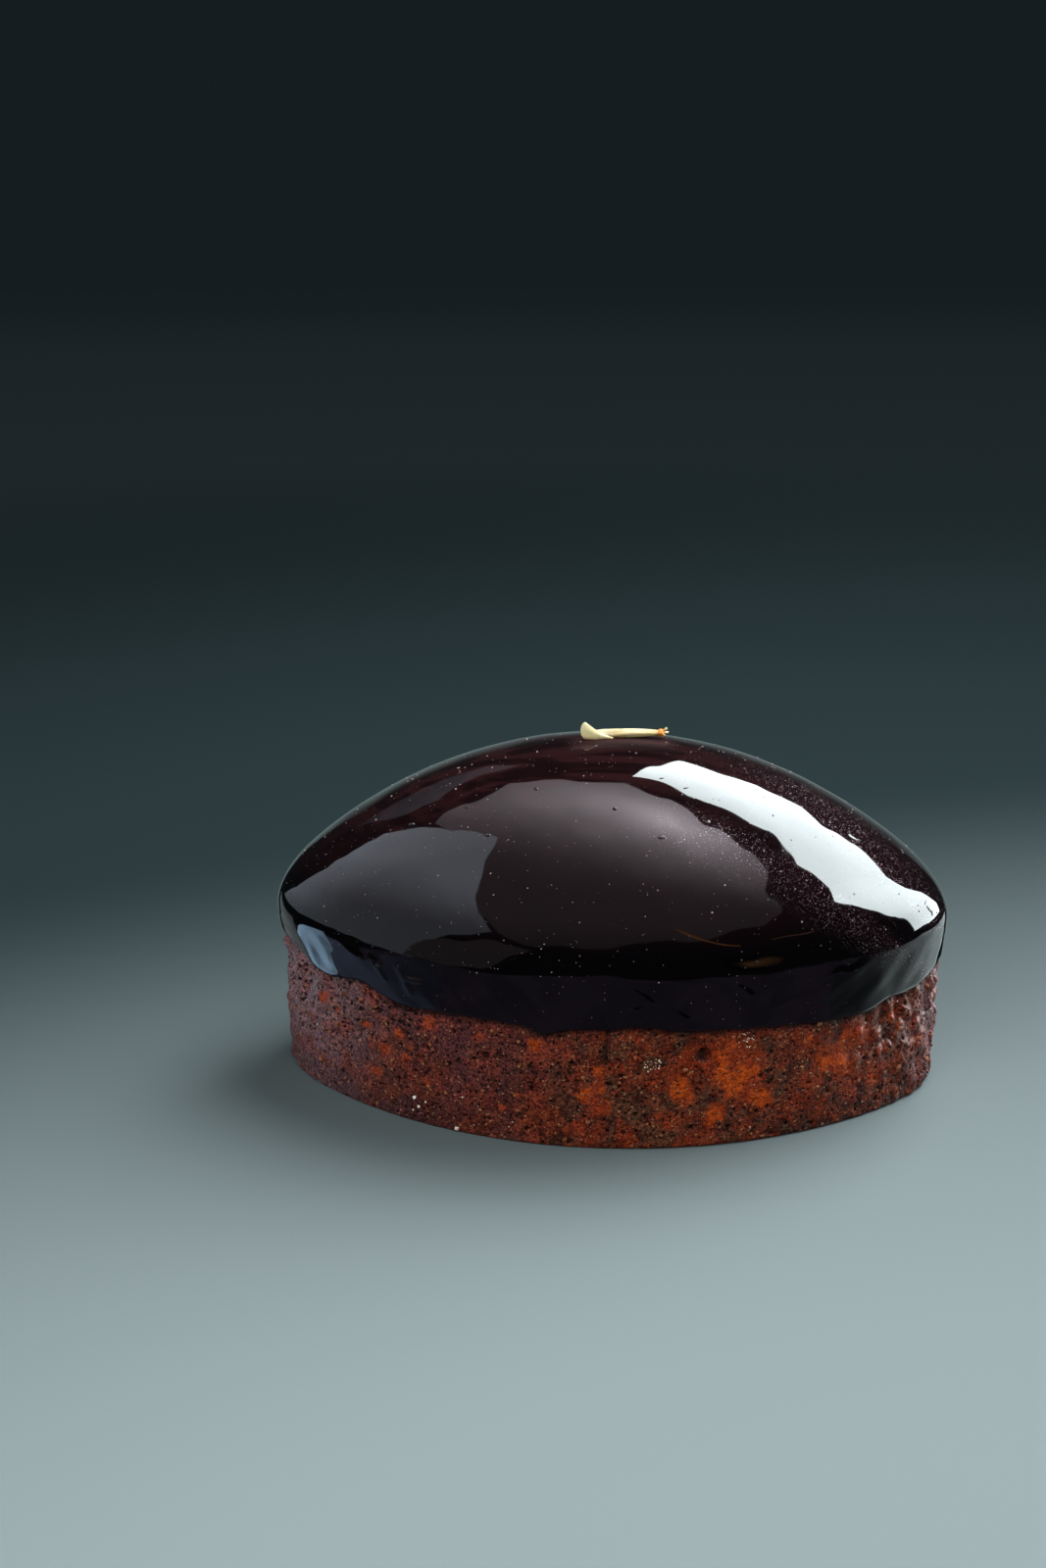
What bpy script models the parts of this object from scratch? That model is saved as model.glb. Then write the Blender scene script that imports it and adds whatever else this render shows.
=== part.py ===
"""Chocolate tart with a glazed dome.

An almond-shaped cocoa crust stands on its flat base. A mirror-glazed dome, pointed at both ends like
the crust, overhangs it all round and runs down a few millimetres over its rim. A small dried blossom
lies along the ridge. Units are metres, +Z is up, X runs along the length, and the origin is at the
middle of the crust's flat base.
"""

import math

import bmesh
import bpy
from mathutils import Matrix, Vector, noise

MM = 0.001

CRUST_LENGTH = 110.0 * MM
CRUST_WIDTH = 62.4 * MM
CRUST_HEIGHT = 22.8 * MM
SIDE_RADIUS = 72.4 * MM  # of the arc along each long side
TIP_SHARPNESS = 33  # the higher it is, the nearer to the tips the arcs run before they round off
CRUST_SEGMENTS = 200
CRUST_ROWS = 12
BASE_CHAMFER = 0.6 * MM

GAP = 0.35 * MM
DOME_OVERHANG = 1.05 * MM
WIDEST_HEIGHT = 28.7 * MM
DOME_RISE = 28.8 * MM
RIDGE_POWER = 1.125  # above 1, the ridge falls towards the tips a little faster than the width does
DOME_SEGMENTS = 120
DOME_RINGS = 14
SKIRT_RINGS = 5
GLAZE_EDGE_HEIGHT = 20.4 * MM  # at the middle of the long sides
GLAZE_EDGE_TIP_LIFT = 1.9 * MM  # how much higher the edge is at the two tips
GLAZE_EDGE_WAVE = 0.45 * MM
GLAZE_EDGE_THICKNESS = 0.5 * MM

SEAM_X = 1.2 * MM
SEAM_DEPTH = 0.35 * MM
SEAM_HALF_WIDTH = 1.0 * MM
SEAM_BOTTOM = 10.0 * MM
DIMPLE_CENTRES = ((16.0 * MM, 15.6 * MM), (-38.0 * MM, 9.0 * MM), (-14.0 * MM, 5.5 * MM))
DIMPLE_RADIUS = 1.7 * MM
DIMPLE_DEPTH = 0.4 * MM
FURROW_DEPTH = 0.3 * MM
FURROW_PITCH = 3.4 * MM
FURROW_START_X = 40.0 * MM
UNDULATION_DEPTH = 0.3 * MM
UNDULATION_SIZE = 7.0 * MM
PLAIN_RIM = 4.0 * MM  # the band under the glaze, where the wall is smooth
PLAIN_FOOT = 1.5 * MM

TUBE_START = (-2.6 * MM, 0.9 * MM)  # the blossom's tube in plan, from its lobe to its knot
TUBE_END = (7.9 * MM, 2.9 * MM)
TUBE_START_LIFT = 1.0 * MM  # of the tube's axis above the dome's apex
TUBE_END_LIFT = 0.7 * MM
TUBE_RADII = (0.55, 0.70, 0.75, 0.76, 0.75, 0.70, 0.60, 0.48)  # millimetres, from the lobe end
LOBE_LENGTH = 3.0 * MM
LOBE_RISE = 1.95 * MM  # of the lobe's tip above the tube's axis
LOBE_DROP = 0.85 * MM  # of the lobe's heel below it
LOBE_THICKNESS = 0.5 * MM
KNOT_RADIUS = 0.68 * MM
STUB_LENGTH = 1.2 * MM
STUB_RADIUS = 0.24 * MM

OUTLINE_SAMPLES = 400

CRUST_BROWN = (0.115, 0.037, 0.022, 1.0)
GLAZE_BLACK = (0.010, 0.005, 0.005, 1.0)
BLOSSOM_YELLOW = (0.80, 0.64, 0.30, 1.0)


def clear_scene():
    for scene_object in list(bpy.data.objects):
        bpy.data.objects.remove(scene_object, do_unlink=True)


def new_collection(name):
    collection = bpy.data.collections.new(name)
    bpy.context.scene.collection.children.link(collection)
    return collection


def food_material(name, colour, roughness):
    material = bpy.data.materials.new(name)
    material.use_nodes = True
    shader = material.node_tree.nodes["Principled BSDF"]
    shader.inputs["Base Color"].default_value = colour
    shader.inputs["Roughness"].default_value = roughness
    shader.inputs["Metallic"].default_value = 0.0
    return material


def smooth_step(low, high, value):
    share = min(1.0, max(0.0, (value - low) / (high - low)))
    return share * share * (3.0 - 2.0 * share)


def half_width(x, outset=0.0):
    """Half of the almond's width at x, for the outline that lies outset outside the crust's wall.

    Each long side is an arc of a circle. The root rounds off the tips where the two arcs would meet.
    """
    half_length = CRUST_LENGTH / 2 + outset
    half_breadth = CRUST_WIDTH / 2 + outset
    radius = SIDE_RADIUS + outset
    arc = math.sqrt(radius**2 - x**2) - (radius - half_breadth)
    return arc * math.sqrt(max(0.0, 1.0 - abs(x / half_length) ** TIP_SHARPNESS))


def outline(count, outset):
    """The almond as count points, evenly spaced from the +X tip and running counterclockwise."""
    half_length = CRUST_LENGTH / 2 + outset
    quadrant = []
    for sample in range(OUTLINE_SAMPLES + 1):
        x = half_length * math.cos(math.pi / 2 * sample / OUTLINE_SAMPLES)
        quadrant.append(Vector((x, half_width(x, outset))))
    quadrant[0].y = 0.0
    travelled = [0.0]
    for before, after in zip(quadrant, quadrant[1:]):
        travelled.append(travelled[-1] + (after - before).length)
    per_quadrant = count // 4
    first, sample = [], 0
    for step in range(per_quadrant + 1):
        target = travelled[-1] * step / per_quadrant
        while sample < OUTLINE_SAMPLES - 1 and travelled[sample + 1] < target:
            sample += 1
        share = (target - travelled[sample]) / (travelled[sample + 1] - travelled[sample])
        first.append(quadrant[sample].lerp(quadrant[sample + 1], share))
    points = [(p.x, p.y) for p in first[:-1]]
    points += [(-p.x, p.y) for p in reversed(first[1:])]
    points += [(-p.x, -p.y) for p in first[:-1]]
    points += [(p.x, -p.y) for p in reversed(first[1:])]
    return points


def wall_relief(x, y, z):
    """How far the baked wall lies inside its nominal outline: undulation, furrows, seam and dimples."""
    across = Vector((x, y, z)) / UNDULATION_SIZE
    depth = UNDULATION_DEPTH * (0.5 + 0.5 * noise.noise(across))
    at_tip = smooth_step(FURROW_START_X, CRUST_LENGTH / 2, x)
    depth += FURROW_DEPTH * at_tip * (0.5 + 0.5 * math.sin(2 * math.pi * y / FURROW_PITCH))
    if y < 0.0:
        off_seam = abs(x - SEAM_X) / SEAM_HALF_WIDTH
        depth += SEAM_DEPTH * max(0.0, 1.0 - off_seam) * smooth_step(SEAM_BOTTOM, SEAM_BOTTOM + 2 * MM, z)
        for dimple_x, dimple_z in DIMPLE_CENTRES:
            off_centre = math.hypot(x - dimple_x, z - dimple_z) / DIMPLE_RADIUS
            depth += DIMPLE_DEPTH * max(0.0, 1.0 - off_centre**2)
    fade = smooth_step(0.0, PLAIN_FOOT, z) * smooth_step(0.0, PLAIN_RIM, CRUST_HEIGHT - z)
    return depth * fade


def crust_levels():
    """Heights of the wall's rings with how far each lies inside the nominal outline."""
    levels = [(0.0, BASE_CHAMFER), (0.35 * MM, 0.15 * MM)]
    low, high = 1.0 * MM, CRUST_HEIGHT - 0.8 * MM
    for row in range(CRUST_ROWS - 2):
        levels.append((low + (high - low) * row / (CRUST_ROWS - 3), 0.0))
    levels.append((CRUST_HEIGHT, BASE_CHAMFER))
    return levels


def make_crust(collection):
    """The baked wall and base as one block: an almond column whose side carries the relief."""
    mesh_data = bmesh.new()
    bmesh.ops.create_cone(
        mesh_data, cap_ends=True, cap_tris=False, segments=CRUST_SEGMENTS, radius1=1.0, radius2=1.0, depth=1.0
    )
    levels = crust_levels()
    upright = [e for e in mesh_data.edges if abs(e.verts[0].co.z - e.verts[1].co.z) > 0.5]
    bmesh.ops.subdivide_edges(mesh_data, edges=upright, cuts=len(levels) - 2, use_grid_fill=False)
    almond = outline(CRUST_SEGMENTS, 0.0)
    for vertex in mesh_data.verts:
        column = round(math.atan2(vertex.co.y, vertex.co.x) / (2 * math.pi) * CRUST_SEGMENTS)
        row = round((vertex.co.z + 0.5) * (len(levels) - 1))
        x, y = almond[column % CRUST_SEGMENTS]
        height, inset = levels[row]
        before = Vector(almond[(column - 1) % CRUST_SEGMENTS])
        after = Vector(almond[(column + 1) % CRUST_SEGMENTS])
        along = (after - before).normalized()
        inset += wall_relief(x, y, height)
        vertex.co = Vector((x - along.y * inset, y + along.x * inset, height))
    return finish_object("tart_crust", mesh_data, food_material("cocoa_crust", CRUST_BROWN, 0.6), collection)


def dome_height(x, y):
    """Height of the dome's surface: each cross-section is half an ellipse, as wide as the almond."""
    width_here = half_width(x, DOME_OVERHANG)
    full_width = CRUST_WIDTH / 2 + DOME_OVERHANG
    if width_here <= 0.0:
        return WIDEST_HEIGHT
    ridge = DOME_RISE * (width_here / full_width) ** RIDGE_POWER
    return WIDEST_HEIGHT + ridge * math.sqrt(max(0.0, 1.0 - (y / width_here) ** 2))


def glaze_edge(x, y):
    """Height of the glaze's lower edge, which is higher at the tips and wavers where drops have run."""
    tip_share = abs(x) / (CRUST_LENGTH / 2)
    slow = noise.noise(Vector((x, y, 0.0)) / (9.0 * MM))
    quick = noise.noise(Vector((x, y, 40.0 * MM)) / (3.5 * MM))
    wave = GLAZE_EDGE_WAVE * (slow + 0.4 * quick)
    return GLAZE_EDGE_HEIGHT + GLAZE_EDGE_TIP_LIFT * tip_share**6 + wave


def dome_rings():
    """The dome's rings from just below the apex, over the widest line and round under the skirt."""
    rings = []
    widest = outline(DOME_SEGMENTS, DOME_OVERHANG)
    for ring in range(1, DOME_RINGS + 1):
        reach = math.sin(math.pi / 2 * ring / DOME_RINGS)
        if ring == DOME_RINGS:
            rings.append([Vector((x, y, WIDEST_HEIGHT)) for x, y in widest])
        else:
            rings.append(
                [Vector((x * reach, y * reach, dome_height(x * reach, y * reach))) for x, y in widest]
            )
    edges = [glaze_edge(x, y) for x, y in outline(DOME_SEGMENTS, GAP)]
    edge_outset = GAP + GLAZE_EDGE_THICKNESS
    for ring in range(1, SKIRT_RINGS + 1):
        down = ring / SKIRT_RINGS
        points = outline(DOME_SEGMENTS, DOME_OVERHANG + (edge_outset - DOME_OVERHANG) * down**2)
        rings.append(
            [
                Vector((x, y, WIDEST_HEIGHT + (edge + 0.3 * MM - WIDEST_HEIGHT) * down))
                for (x, y), edge in zip(points, edges)
            ]
        )
    lip = outline(DOME_SEGMENTS, GAP + GLAZE_EDGE_THICKNESS / 2)
    rings.append([Vector((x, y, edge)) for (x, y), edge in zip(lip, edges)])
    inner = outline(DOME_SEGMENTS, GAP)
    ceiling = CRUST_HEIGHT + GAP
    rings.append([Vector((x, y, edge + 0.15 * MM)) for (x, y), edge in zip(inner, edges)])
    rings.append([Vector((x, y, ceiling)) for x, y in inner])
    rings.append([Vector((x / 2, y / 2, ceiling)) for x, y in inner])
    return rings, ceiling


def make_dome(collection):
    """The glazed dome: a sphere's rings drawn over the almond, then tucked in under the skirt."""
    rings, ceiling = dome_rings()
    mesh_data = bmesh.new()
    bands = len(rings) + 1
    bmesh.ops.create_uvsphere(mesh_data, u_segments=DOME_SEGMENTS, v_segments=bands, radius=1.0)
    for vertex in mesh_data.verts:
        ring = round(math.acos(max(-1.0, min(1.0, vertex.co.z))) / math.pi * bands)
        column = round(math.atan2(vertex.co.y, vertex.co.x) / (2 * math.pi) * DOME_SEGMENTS)
        if ring == 0:
            vertex.co = Vector((0.0, 0.0, WIDEST_HEIGHT + DOME_RISE))
        elif ring == bands:
            vertex.co = Vector((0.0, 0.0, ceiling))
        else:
            vertex.co = rings[ring - 1][column % DOME_SEGMENTS]
    return finish_object(
        "glazed_dome", mesh_data, food_material("mirror_glaze", GLAZE_BLACK, 0.08), collection
    )


def finish_object(name, mesh_data, material, collection):
    mesh = bpy.data.meshes.new(name)
    mesh_data.to_mesh(mesh)
    mesh_data.free()
    mesh.materials.append(material)
    mesh.shade_smooth()
    mesh.set_sharp_from_angle(angle=math.radians(40))
    made = bpy.data.objects.new(name, mesh)
    collection.objects.link(made)
    return made


def as_plain_mesh(source, name, collection):
    """The evaluated shape of source as a mesh object, welded, with source removed."""
    bpy.context.view_layer.update()
    graph = bpy.context.evaluated_depsgraph_get()
    mesh = bpy.data.meshes.new_from_object(source.evaluated_get(graph))
    mesh.transform(source.matrix_world)
    welded = bmesh.new()
    welded.from_mesh(mesh)
    bmesh.ops.remove_doubles(welded, verts=welded.verts, dist=0.001 * MM)
    bmesh.ops.recalc_face_normals(welded, faces=welded.faces)
    welded.to_mesh(mesh)
    welded.free()
    made = bpy.data.objects.new(name, mesh)
    collection.objects.link(made)
    bpy.data.objects.remove(source, do_unlink=True)
    return made


def tube_point(share):
    """A point on the blossom's axis: 0 at its lobe and 1 at its knot. Both can be passed."""
    start = Vector((*TUBE_START, WIDEST_HEIGHT + DOME_RISE + TUBE_START_LIFT))
    end = Vector((*TUBE_END, WIDEST_HEIGHT + DOME_RISE + TUBE_END_LIFT))
    return start.lerp(end, share)


def make_tube(collection):
    """The blossom's slim straight tube, which lies on the ridge and thins towards the knot."""
    curve = bpy.data.curves.new("tube_line", "CURVE")
    curve.dimensions = "3D"
    curve.bevel_depth = 1.0 * MM
    curve.bevel_resolution = 2
    curve.use_fill_caps = True
    spline = curve.splines.new("POLY")
    spline.points.add(len(TUBE_RADII) - 1)
    for index, (point, radius) in enumerate(zip(spline.points, TUBE_RADII)):
        point.co = (*tube_point(index / (len(TUBE_RADII) - 1)), 1.0)
        point.radius = radius
    line = bpy.data.objects.new("tube_line", curve)
    collection.objects.link(line)
    return as_plain_mesh(line, "tube", collection)


def make_lobe(collection):
    """The petal at the tube's end: an upright sheet that flares to a rounded tip, with a soft fold."""
    mesh_data = bmesh.new()
    bmesh.ops.create_grid(mesh_data, x_segments=8, y_segments=8, size=0.5)
    root = tube_point(0.0)
    along_tube = (tube_point(1.0) - root).normalized()
    sideways = along_tube.cross(Vector((0.0, 0.0, 1.0))).normalized()
    for vertex in mesh_data.verts:
        along = 0.5 - vertex.co.x
        across = vertex.co.y * 2
        flare = smooth_step(-0.1, 0.85, along) * (1.0 - 0.35 * smooth_step(0.75, 1.0, along))
        top = 0.35 * MM + (LOBE_RISE - 0.35 * MM) * flare
        bottom = -0.35 * MM - (LOBE_DROP - 0.35 * MM) * flare
        height = bottom + (top - bottom) * (across + 1.0) / 2
        reach = 0.7 * MM - LOBE_LENGTH * along - 0.25 * MM * (1.0 - across**2) * along
        fold = 0.45 * MM * math.cos(math.pi * across / 2) * along - 0.2 * MM * along
        vertex.co = root + along_tube * reach + sideways * fold + Vector((0.0, 0.0, height))
    open_mesh = bpy.data.meshes.new("lobe_sheet")
    mesh_data.to_mesh(open_mesh)
    mesh_data.free()
    sheet = bpy.data.objects.new("lobe_sheet", open_mesh)
    collection.objects.link(sheet)
    thicken = sheet.modifiers.new("thickness", "SOLIDIFY")
    thicken.thickness = LOBE_THICKNESS
    thicken.offset = 0.0
    return as_plain_mesh(sheet, "lobe", collection)


def make_knot(collection):
    """The knot at the tube's far end."""
    mesh_data = bmesh.new()
    centre = Matrix.Translation(tube_point(1.04))
    bmesh.ops.create_uvsphere(mesh_data, u_segments=10, v_segments=7, radius=KNOT_RADIUS, matrix=centre)
    mesh = bpy.data.meshes.new("knot")
    mesh_data.to_mesh(mesh)
    mesh_data.free()
    knot = bpy.data.objects.new("knot", mesh)
    collection.objects.link(knot)
    return knot


def make_stub(index, yaw, pitch, collection):
    """One of the short stubs that stick out past the knot."""
    mesh_data = bmesh.new()
    start = Matrix.Translation(tube_point(1.05))
    turn = Matrix.Rotation(yaw, 4, "Z") @ Matrix.Rotation(math.pi / 2 - pitch, 4, "Y")
    outward = Matrix.Translation((0.0, 0.0, STUB_LENGTH / 2))
    bmesh.ops.create_cone(
        mesh_data,
        cap_ends=True,
        segments=7,
        radius1=STUB_RADIUS,
        radius2=STUB_RADIUS,
        depth=STUB_LENGTH,
        matrix=start @ turn @ outward,
    )
    mesh = bpy.data.meshes.new(f"stub_{index}")
    mesh_data.to_mesh(mesh)
    mesh_data.free()
    stub = bpy.data.objects.new(f"stub_{index}", mesh)
    collection.objects.link(stub)
    return stub


def make_blossom(collection):
    """The dried blossom, joined into one solid where it lies along the ridge."""
    pieces = new_collection("blossom_pieces")
    tube = make_tube(collection)
    make_lobe(pieces)
    make_knot(pieces)
    for index, (yaw, pitch) in enumerate(((-10, 42), (14, -2), (-60, -18))):
        make_stub(index, math.radians(yaw), math.radians(pitch), pieces)
    join = tube.modifiers.new("join", "BOOLEAN")
    join.operation = "UNION"
    join.operand_type = "COLLECTION"
    join.collection = pieces
    join.solver = "EXACT"
    blossom = as_plain_mesh(tube, "dried_blossom", collection)
    for piece in list(pieces.objects):
        bpy.data.objects.remove(piece, do_unlink=True)
    bpy.data.collections.remove(pieces)
    blossom.data.materials.clear()
    blossom.data.materials.append(food_material("blossom_petal", BLOSSOM_YELLOW, 0.5))
    blossom.data.shade_smooth()
    blossom.data.set_sharp_from_angle(angle=math.radians(50))
    return blossom


def main():
    clear_scene()
    tart = new_collection("chocolate_tart")
    make_crust(tart)
    make_dome(tart)
    make_blossom(tart)


main()
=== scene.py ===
"""The look of the chocolate tart: a baked cocoa crust, a mirror-glazed dome and a dried blossom.

The sizes come from the loaded frame, in metres, with +Z up and X along the tart. Geometry Nodes draw
the glaze, the crust and what is scattered over them, and the materials are procedural.
"""

import math

import bmesh
import bpy
from mathutils import Euler, Matrix, Vector


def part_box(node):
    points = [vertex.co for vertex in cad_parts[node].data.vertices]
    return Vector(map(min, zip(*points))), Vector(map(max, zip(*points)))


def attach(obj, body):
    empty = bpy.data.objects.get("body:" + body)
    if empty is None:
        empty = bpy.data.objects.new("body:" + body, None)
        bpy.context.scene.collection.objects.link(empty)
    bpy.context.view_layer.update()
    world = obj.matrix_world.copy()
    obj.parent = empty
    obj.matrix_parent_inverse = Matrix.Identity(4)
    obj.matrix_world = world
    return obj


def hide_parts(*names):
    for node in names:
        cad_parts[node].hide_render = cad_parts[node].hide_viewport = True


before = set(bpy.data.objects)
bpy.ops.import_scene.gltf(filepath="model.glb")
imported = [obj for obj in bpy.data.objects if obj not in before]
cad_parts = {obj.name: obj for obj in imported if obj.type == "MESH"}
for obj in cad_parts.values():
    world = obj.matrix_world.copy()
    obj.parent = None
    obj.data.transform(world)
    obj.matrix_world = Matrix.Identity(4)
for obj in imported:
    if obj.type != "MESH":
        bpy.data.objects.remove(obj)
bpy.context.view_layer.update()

MM = 0.001
GLAZE_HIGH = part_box("glazed_dome")[1]
CRUST_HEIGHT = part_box("tart_crust")[1].z

# The almond that the crust's wall follows, and the dome over it.
OVERHANG = 1.05 * MM  # of the glaze's widest line outside the crust's wall
HALF_LENGTH = GLAZE_HIGH.x - OVERHANG
HALF_WIDTH = GLAZE_HIGH.y - OVERHANG
SIDE_RADIUS = 72.4 * MM
TIP_SHARPNESS = 33
WIDEST_HEIGHT = 28.7 * MM
DOME_RISE = GLAZE_HIGH.z - WIDEST_HEIGHT
RIDGE_POWER = 1.125

# The grids' faces: round the tart, then by part from the top of the glaze down and back in.
GLAZE_COLUMNS = 620
DOME_ROWS, SKIRT_ROWS, LIP_ROWS, INNER_ROWS, UNDER_ROWS = 104, 26, 6, 3, 3
CRUST_COLUMNS = 1040
WALL_ROWS, CAP_ROWS = 84, 3

# Where the glaze's edge ran higher or lower in front: x, reach and rise in millimetres.
EDGE_SAGS = (
    (-39.2, 4.4, 1.95), (-14, 16, 0.42), (-8.7, 2.6, -1.25), (6, 4, 0.75),
    (38, 13, -1.45), (41, 2.2, -0.3), (45, 2, 0.45), (50.5, 3.5, -0.4),
)
LEFT_TIP_LIFT = (-53, 5.5, 2.6)
# Creases in the skirt: x and height of both ends, and reach, in millimetres.
CREASES = (
    (5.1, 27.7, 7.8, 25.6, 0.55), (7.6, 25.4, 5.4, 24.4, 0.55), (5.4, 24.4, 6.6, 23, 0.5),
    (10.2, 24.6, 13, 22.8, 0.55), (13, 22.8, 12.3, 20.8, 0.55), (20.9, 27.6, 22.8, 25.7, 0.55),
    (-31.8, 27.4, -30, 23.2, 0.55), (-30.6, 25.6, -28.2, 25.8, 0.5), (-35.5, 26.6, -34.2, 24.6, 0.5),
)
# The fold of glaze that ran down in front: x, height and reach in millimetres.
TONGUE = (9.2, 23.4, 3.4)
# Blisters in the glaze: x, y, length, width and height in millimetres, and their turn in degrees.
BLISTERS = (
    (-45.8, -8.9, 0.26, 0.22, 0.14, 0), (39.1, -9, 1.15, 0.6, 0.13, -38),
    (38.3, -8.7, 0.3, 0.2, 0.2, 0), (39.8, -9.5, 0.25, 0.2, 0.2, 0),
    (-18, -20.6, 0.6, 0.3, 0.2, 0), (-30.7, -14.1, 0.62, 0.34, 0.3, 15),
    (15.7, -18.7, 0.5, 0.3, 0.18, 20), (1.5, -18.8, 0.34, 0.26, 0.18, 0),
    (8.7, -22.3, 0.6, 0.32, 0.12, 0), (38.5, -17.9, 0.26, 0.2, 0.12, 0),
    (-10.9, -14.4, 0.34, 0.26, 0.14, 0), (-21.8, -15, 0.36, 0.22, 0.12, 20),
    (-27.4, -8.3, 0.55, 0.24, 0.12, 20), (12.4, -13.3, 0.55, 0.12, 0.08, 8),
    (8.6, -12, 0.45, 0.1, 0.07, 8), (51.5, -9.4, 0.8, 0.12, 0.12, -60),
    (50.9, -9.3, 0.55, 0.11, 0.1, 25), (52.1, -9.1, 0.45, 0.12, 0.1, 75),
)

SEAM_X = 1 * MM
# Hollows in the wall: x, height, radius and depth in millimetres.
DIMPLES = (
    (16, 16, 1.6, 0.6), (-18, 14.6, 0.9, 0.5), (-15.8, 15, 0.7, 0.4), (-36, 18, 0.6, 0.4),
    (-33, 19.6, 0.6, 0.4), (-22.5, 12.5, 0.6, 0.3), (26, 12, 0.7, 0.3),
)
# Where the fat baked out in rusty patches on the front: x, height and reach in millimetres.
RUSTY_PATCHES = (
    (20.5, 14.6, 5.6), (21.5, 10.4, 4.4), (17.5, 5.4, 2.6), (25.2, 7.4, 2.4), (35.8, 12.2, 3.4),
    (38.4, 9.6, 2.4), (32.4, 16, 1.6), (43.5, 6, 1.7), (46.2, 17, 1.7), (40.2, 15, 3.4),
    (11.8, 12, 2.5), (12.8, 9, 2.7), (0, 13.6, 1.6), (-0.5, 11, 1.8), (-2.4, 9, 1.7),
    (0.4, 7.6, 2), (-3.6, 3.6, 2), (-10, 17.2, 2.6), (-13, 8.5, 1.3), (-15.2, 5.8, 1.3),
    (-19, 17.6, 2), (-27, 18.4, 2.6), (-27.2, 8.2, 1.5), (-31, 11.2, 1.3), (-32.5, 15, 1.7),
    (-34.8, 11.6, 2.1), (-36.2, 7.4, 2.1), (-38.2, 14.8, 1.5), (-43.6, 15.2, 1.7), (-46, 17.2, 1.8),
)
# The crust's pores: spacing, reach in spacings, share of them there, and depth.
CRUST_PORES = (
    (2.1 * MM, 0.23, 0.7, 0.5 * MM), (1 * MM, 0.3, 0.65, 0.3 * MM), (0.5 * MM, 0.36, 0.58, 0),
)
# The same of the pores where the crumb is open.
OPEN_PORES = (1.15 * MM, 0.38, 0.9, 0.35 * MM)
# Where sugar grains lie close in front: x, height and reach in millimetres, and how many times more.
SUGAR_CLUSTERS = (
    (8, 14.5, 1.7, 520), (22.5, 18.2, 2.4, 300), (-20, 4, 3, 6), (45, 16.5, 4, 8),
)
# Loose sugar crystals stuck to the foot of the wall: x, height and half their size, in millimetres.
CRYSTALS = (
    (-29.9, 4.6, 0.24), (-29.2, 3.2, 0.2), (-28, 4.3, 0.12), (-22.8, 0.9, 0.26), (-30.2, 2.3, 0.11),
)

TUBE_START = Vector((-2.6 * MM, 0.9 * MM, GLAZE_HIGH.z + 0.72 * MM))
TUBE_END = Vector((7.9 * MM, 2.9 * MM, GLAZE_HIGH.z + 0.42 * MM))
TUBE_ALONG = (TUBE_END - TUBE_START).normalized()
TUBE_SIDE = TUBE_ALONG.cross(Vector((0, 0, 1))).normalized()
TUBE_RADII = (0.55, 0.7, 0.75, 0.76, 0.75, 0.7, 0.6, 0.48)  # from start to end, in millimetres
PETAL_THICKNESS = 0.3 * MM
KNOT_RADIUS = 0.64 * MM
STAMENS = ((-10, 42, 1.25), (14, -2, 1.2), (-60, -18, 1))  # yaw and pitch in degrees, length in mm

# Colours of the glaze, with painted light: the lit top, the glow and glints beside the window's highlight,
# and the dark reflection in front of the blossom.
GLAZE_DEEP = (0.0014, 0.0009, 0.0013, 1)
GLAZE_PAINTED_TOP_LIGHT = (0.0195, 0.006, 0.007, 1)
GLAZE_PAINTED_GLOW = (0.0135, 0.0055, 0.0075, 1)
GLAZE_PAINTED_REFLECTION = (0.021, 0.0072, 0.008)
DUST = (0.66, 0.48, 0.5, 1)
PAINTED_BUBBLE_GLINT = (0.8, 0.7, 0.76, 1)
BUBBLE_BODY = (0.52, 0.36, 0.34, 1)
# Colours of the crust, with painted sheen at both ends and painted shade in the pores.
CRUMB_DARK = (0.04, 0.0082, 0.0046, 1)
CRUMB_LIGHT = (0.188, 0.0375, 0.0135, 1)
PLUM = (0.094, 0.029, 0.029, 1)
LEFT_END_PAINTED_SHEEN = (0.225, 0.128, 0.14, 1)
RIGHT_END_PAINTED_SHEEN = (0.185, 0.092, 0.096, 1)
RED_LEFT = (0.2, 0.036, 0.022, 1)
RED_RIGHT = (0.26, 0.032, 0.007, 1)
SANDY = (0.1, 0.046, 0.024, 1)
ORANGE = (0.45, 0.064, 0.0045, 1)
PALE_CRUMB = (0.44, 0.2, 0.085, 1)
PALE_SPECK = (0.56, 0.34, 0.21, 1)
PAINTED_HOLLOW_SHADE = (0.008, 0.003, 0.0028, 1)
LOOSE_CRUMB = ((0.05, 0.013, 0.008, 1), (0.34, 0.12, 0.05, 1))
SUGAR = ((0.86, 0.66, 0.48, 1), (1, 0.92, 0.8, 1))

# The camera stands where the photograph was taken from.
CAMERA_PLACE = Vector((7.909, -262.416, 136.143)) * MM
CAMERA_AIM = Vector((-0.07952, 0.94666, -0.31225))
CAMERA_ROLL = -0.0082
CAMERA_LENS = 38.59
CARD_DISTANCE = 3
TART_MIDDLE = Vector((0, 0, 45 * MM))
# The floor's painted pool of light, lit and dim, and the painted glow of its far part; the last tone is
# also the tone far behind.
FLOOR_PAINTED_LIGHT = (0.22, 0.275, 0.285, 1)
FLOOR_PAINTED_DIM = (0.02, 0.033, 0.036, 1)
FLOOR_PAINTED_GLOW = (0.012, 0.0182, 0.0205, 1)
FAR_TONE = (0.0078, 0.0126, 0.0148, 1)
# The soft lamps: place and aim in metres, size, spread in degrees, and watts.
STUDIO_LAMPS = (
    ("key", (0.38, 0.28, 0.72), (0, -0.05, 0), 0.7, 75, 3.2),
    ("fill", (-0.3, -0.62, 0.5), (0, -0.04, 0.02), 0.6, 90, 1.15),
    ("front", (0.12, -0.4, 0.42), (0, -0.22, 0), 0.3, 110, 0.25),
)


def of_one(operation):
    return lambda self: self.bench.math(operation, self)


def of_two(operation):
    return lambda self, other: self.bench.math(operation, self, other)


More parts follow.
